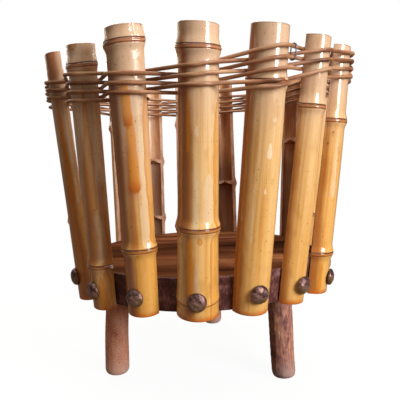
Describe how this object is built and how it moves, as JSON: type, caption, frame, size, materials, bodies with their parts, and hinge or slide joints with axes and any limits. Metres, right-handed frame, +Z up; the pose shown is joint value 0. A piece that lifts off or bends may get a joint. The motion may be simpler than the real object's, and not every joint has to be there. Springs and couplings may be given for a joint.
{
  "type": "cachepot",
  "caption": "Round tripod cachepot of upright split bamboo culms nailed round a thick wooden disc, bound near the top by a woven rattan strand, on stick legs; it hides a plant pot.",
  "frame": {"origin": "On the floor, under the middle of the whole pot's box. The disc's own centre is 3.8 mm to the left of it and 1 mm behind it, because the staves lean unevenly.", "axes": "+Z up, square to the seat for the inner pot. -Y is the front, with the splice of the rattan strand a little to the right of it, and +X is to the right."},
  "size_m": [0.3014, 0.3026, 0.3029],
  "materials": {
    "bamboo": "glossy varnished split bamboo, golden to amber",
    "rattan": "semi-gloss brown rattan core",
    "board": "dark brown stained straight-grained board",
    "stick": "matt reddish brown peeled branch",
    "nail": "aged bronze, slightly hammered",
    "wire": "blue-grey steel wire"
  },
  "bodies": {
    "root": {"base_disc": "board", "leg_front_left": "stick", "leg_front_right": "stick", "leg_back": "stick", "bamboo_stave_01": "bamboo", "bamboo_stave_02": "bamboo", "bamboo_stave_03": "bamboo", "bamboo_stave_04": "bamboo", "bamboo_stave_05": "bamboo", "bamboo_stave_06": "bamboo", "bamboo_stave_07": "bamboo", "bamboo_stave_08": "bamboo", "bamboo_stave_09": "bamboo", "bamboo_stave_10": "bamboo", "bamboo_stave_11": "bamboo", "bamboo_stave_12": "bamboo", "bamboo_stave_13": "bamboo", "bamboo_stave_14": "bamboo", "bamboo_stave_15": "bamboo", "bamboo_stave_16": "bamboo", "bamboo_stave_17": "bamboo", "dome_nail_01": "nail", "dome_nail_02": "nail", "dome_nail_03": "nail", "dome_nail_04": "nail", "dome_nail_05": "nail", "dome_nail_06": "nail", "dome_nail_07": "nail", "dome_nail_08": "nail", "dome_nail_09": "nail", "dome_nail_10": "nail", "dome_nail_11": "nail", "dome_nail_12": "nail", "dome_nail_13": "nail", "dome_nail_14": "nail", "dome_nail_15": "nail", "dome_nail_16": "nail", "dome_nail_17": "nail", "rattan_strand_lower": "rattan", "rattan_strand_upper": "rattan", "tie_wire": "wire"}
  },
  "joints": []
}
